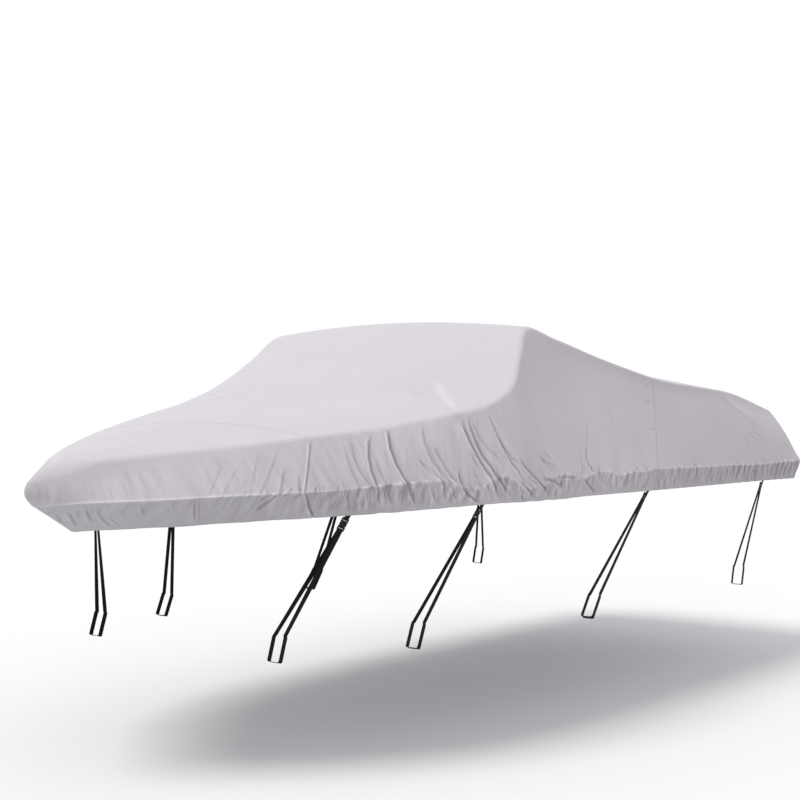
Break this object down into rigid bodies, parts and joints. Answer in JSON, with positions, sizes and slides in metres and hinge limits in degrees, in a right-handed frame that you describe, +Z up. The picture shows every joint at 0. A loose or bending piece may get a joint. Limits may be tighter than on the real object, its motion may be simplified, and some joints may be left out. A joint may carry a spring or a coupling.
{
  "type": "boat cover",
  "caption": "Fitted pale grey cloth cover for a V-hull motor boat with a windscreen, strapped down, with a creased skirt, webbing straps and buckles.",
  "frame": {"origin": "underside of the cloth at the middle of its crest, where the boat's windscreen holds it up", "axes": "+Z up, bow towards -X, port side towards -Y"},
  "size_m": [5.2544, 2.1946, 1.539],
  "materials": {
    "cover_cloth": "matte coated plain weave",
    "webbing": "matte woven webbing",
    "buckle_plastic": "satin moulded"
  },
  "bodies": {
    "root": {"bow_panel": "cover_cloth", "middle_panel": "cover_cloth", "aft_panel": "cover_cloth", "transom_panel": "cover_cloth", "hem_tab_port_1": "webbing", "buckle_port_1": "buckle_plastic", "strap_port_1": "webbing", "hem_tab_port_2": "webbing", "buckle_port_2": "buckle_plastic", "strap_port_2": "webbing", "hem_tab_port_3": "webbing", "buckle_port_3": "buckle_plastic", "strap_port_3": "webbing", "hem_tab_port_4": "webbing", "buckle_port_4": "buckle_plastic", "strap_port_4": "webbing", "hem_tab_starboard_1": "webbing", "buckle_starboard_1": "buckle_plastic", "strap_starboard_1": "webbing", "hem_tab_starboard_2": "webbing", "buckle_starboard_2": "buckle_plastic", "strap_starboard_2": "webbing", "hem_tab_starboard_3": "webbing", "buckle_starboard_3": "buckle_plastic", "strap_starboard_3": "webbing", "hem_tab_starboard_4": "webbing", "buckle_starboard_4": "buckle_plastic", "strap_starboard_4": "webbing"}
  },
  "joints": []
}
